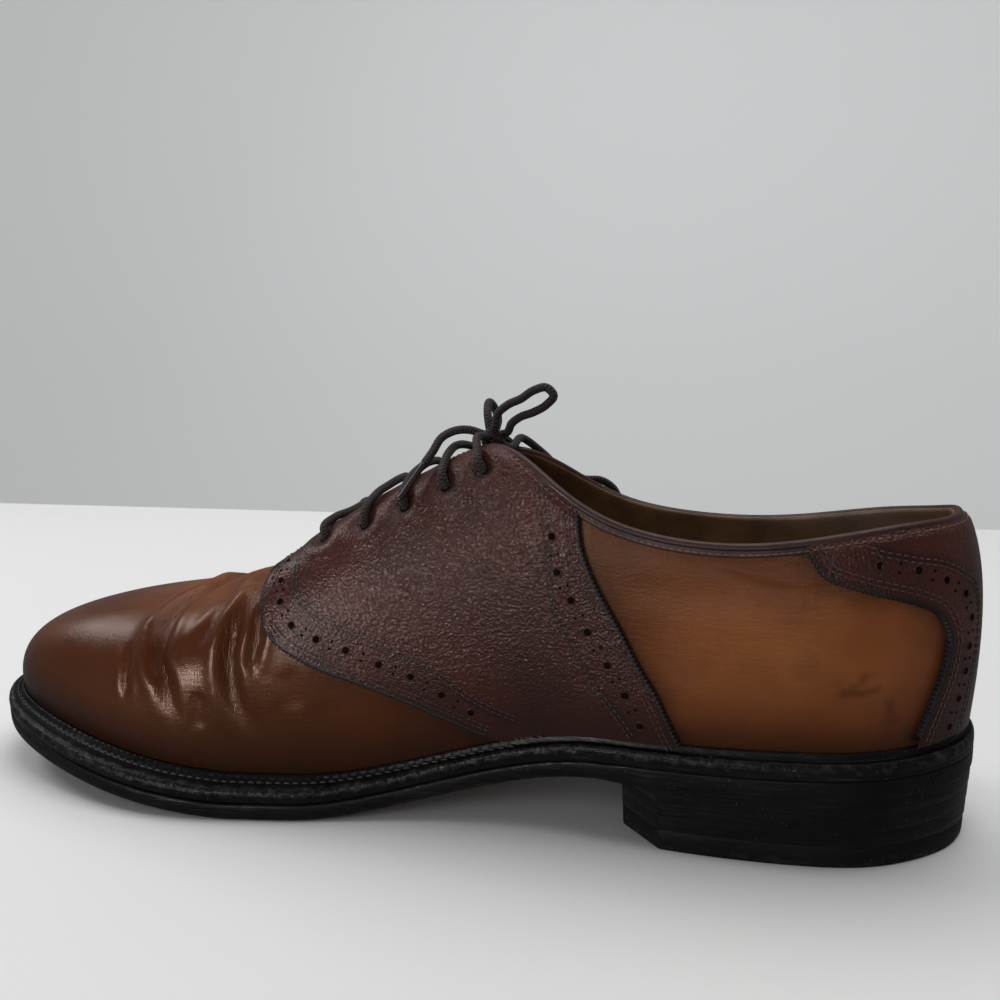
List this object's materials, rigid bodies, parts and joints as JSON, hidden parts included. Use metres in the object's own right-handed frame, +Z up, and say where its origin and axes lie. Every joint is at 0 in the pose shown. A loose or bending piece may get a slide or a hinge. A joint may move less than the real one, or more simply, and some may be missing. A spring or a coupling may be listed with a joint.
{
  "type": "saddle shoe",
  "caption": "Right saddle shoe: tan leather upper with dark brown saddle and heel counter, laced throat, welted black sole and stacked heel.",
  "frame": {"origin": "middle of the bounding box's bottom face, on the ground plane under the shoe", "axes": "+Z up; the toe points to -X and the heel is towards +X; -Y is the medial (inner) side"},
  "size_m": [0.302, 0.1028, 0.1203],
  "materials": {
    "sole_edge": "black, waxed edge",
    "welt": "black, wheeled",
    "insole": "tan, matt",
    "heel_stack": "black, polished edge",
    "top_lift": "black, satin",
    "tan_leather": "tan calf, polished",
    "saddle_leather": "dark brown, grained",
    "heel_counter_leather": "dark brown, grained",
    "tongue": "brown, matt",
    "lace": "waxed cord",
    "aglet": "gloss"
  },
  "bodies": {
    "root": {"outsole": "sole_edge", "welt": "welt", "insole": "insole", "heel_stack": "heel_stack", "top_lift": "top_lift", "upper": "tan_leather", "saddle": "saddle_leather", "heel_counter": "heel_counter_leather", "tongue": "tongue", "lace_bar_1": "lace", "lace_bar_2": "lace", "lace_bar_3": "lace", "lace_bar_4": "lace", "lace_strand_medial": "lace", "lace_strand_lateral": "lace", "lace_loop_upright": "lace", "lace_loop_rear": "lace", "lace_end_medial": "lace", "lace_end_lateral": "lace", "lace_knot": "lace", "aglet_medial": "aglet", "aglet_lateral": "aglet"}
  },
  "joints": []
}
